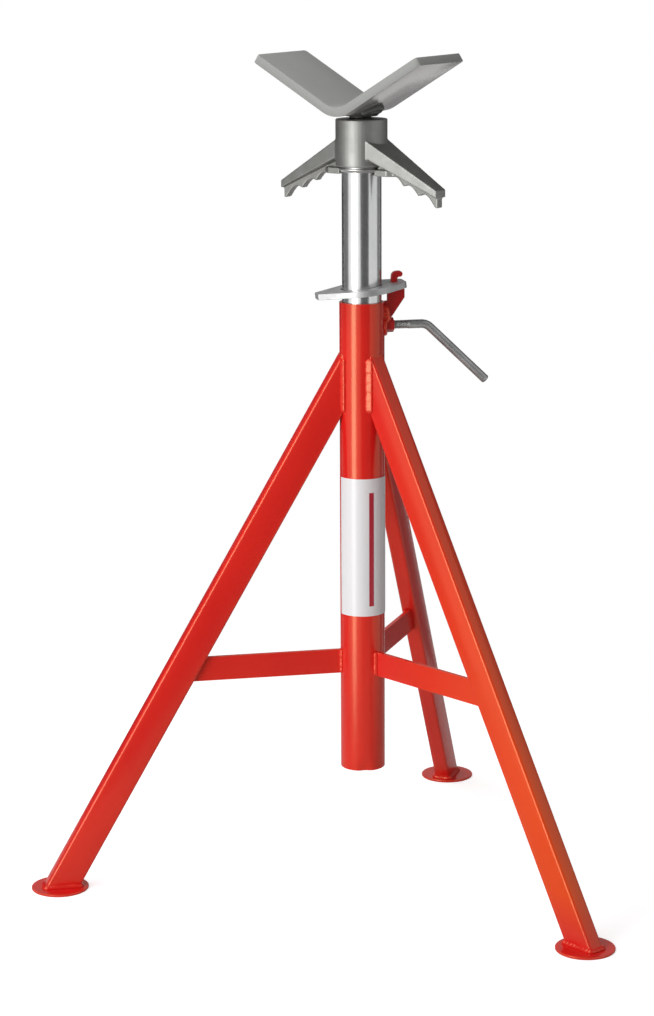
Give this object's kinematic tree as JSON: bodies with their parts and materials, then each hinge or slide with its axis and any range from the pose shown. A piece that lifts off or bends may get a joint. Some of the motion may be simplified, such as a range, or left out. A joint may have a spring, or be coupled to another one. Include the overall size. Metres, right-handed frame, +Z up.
{
  "type": "pipe stand",
  "caption": "Adjustable stand that holds up a pipe in a V-shaped saddle, with a screw jack turned by an arm nut, a sliding inner tube with lock plate and clamp, and welded tripod legs.",
  "frame": {"origin": "on the floor, under the centre of the stand's bounding box, which is a little in front of the mast towards the back leg's side", "axes": "+Z up along the mast, +Y towards the back leg, +X from the left leg to the right leg"},
  "size_m": [0.6448, 0.5666, 0.8891],
  "materials": {
    "frame_paint": "gloss red-orange paint",
    "hook_paint": "satin crimson paint",
    "zinc": "bright zinc plating",
    "casting": "cast, satin grey coating",
    "saddle_paint": "satin grey coating",
    "screw_steel": "oiled steel",
    "label": "satin white film"
  },
  "bodies": {
    "base": {"outer_tube": "frame_paint", "leg_left": "frame_paint", "leg_right": "frame_paint", "leg_back": "frame_paint", "brace_left": "frame_paint", "brace_right": "frame_paint", "brace_back": "frame_paint", "foot_pad_left": "frame_paint", "foot_pad_right": "frame_paint", "foot_pad_back": "frame_paint", "leg_weld_left_1": "frame_paint", "leg_weld_left_2": "frame_paint", "leg_weld_right_1": "frame_paint", "leg_weld_right_2": "frame_paint", "leg_weld_back_1": "frame_paint", "leg_weld_back_2": "frame_paint", "brace_mast_weld_left_1": "frame_paint", "brace_mast_weld_left_2": "frame_paint", "brace_mast_weld_right_1": "frame_paint", "brace_mast_weld_right_2": "frame_paint", "brace_mast_weld_back_1": "frame_paint", "brace_mast_weld_back_2": "frame_paint", "brace_leg_weld_left": "frame_paint", "brace_leg_weld_right": "frame_paint", "brace_leg_weld_back": "frame_paint", "foot_weld_left": "frame_paint", "foot_weld_right": "frame_paint", "foot_weld_back": "frame_paint", "lock_hook": "hook_paint", "hook_weld_near": "hook_paint", "hook_weld_far": "hook_paint", "clamp_nut": "hook_paint", "nut_weld": "hook_paint", "label": "label"},
    "mast": {"inner_tube": "zinc", "thrust_collar": "zinc"},
    "nut": {"adjusting_nut": "casting"},
    "head": {"jack_screw": "screw_steel", "screw_stop": "screw_steel", "saddle_boss": "casting", "v_saddle": "saddle_paint", "saddle_weld_left": "saddle_paint", "saddle_weld_right": "saddle_paint"},
    "clamp_screw": {"clamp_screw": "zinc"},
    "lock_plate": {"lock_plate": "zinc"}
  },
  "joints": [
    {"name": "mast_slide", "type": "slide", "parent": "base", "child": "mast", "axis": [0, 0, 1], "range_m": [-0.1, 0.33]},
    {"name": "nut_turn", "type": "hinge", "parent": "mast", "child": "nut", "pos_m": [0, -0.08415, 0.79], "axis": [0, 0, -1], "range_deg": [0, 10600]},
    {"name": "head_lift", "type": "slide", "parent": "mast", "child": "head", "axis": [0, 0, 1], "range_m": [0, 0.15]},
    {"name": "clamp_turn", "type": "hinge", "parent": "base", "child": "clamp_screw", "pos_m": [0, -0.08415, 0.604], "axis": [0.866, 0.5, 0], "range_deg": [0, 900]},
    {"name": "plate_lift", "type": "hinge", "parent": "base", "child": "lock_plate", "pos_m": [0.03001, -0.06682, 0.6468], "axis": [-0.5, 0.866, 0], "range_deg": [0, 6.5]}
  ],
  "couplings": [
    {"joint": "head_lift", "follows": "nut_turn", "m_per_rad": 0.00080851}
  ]
}
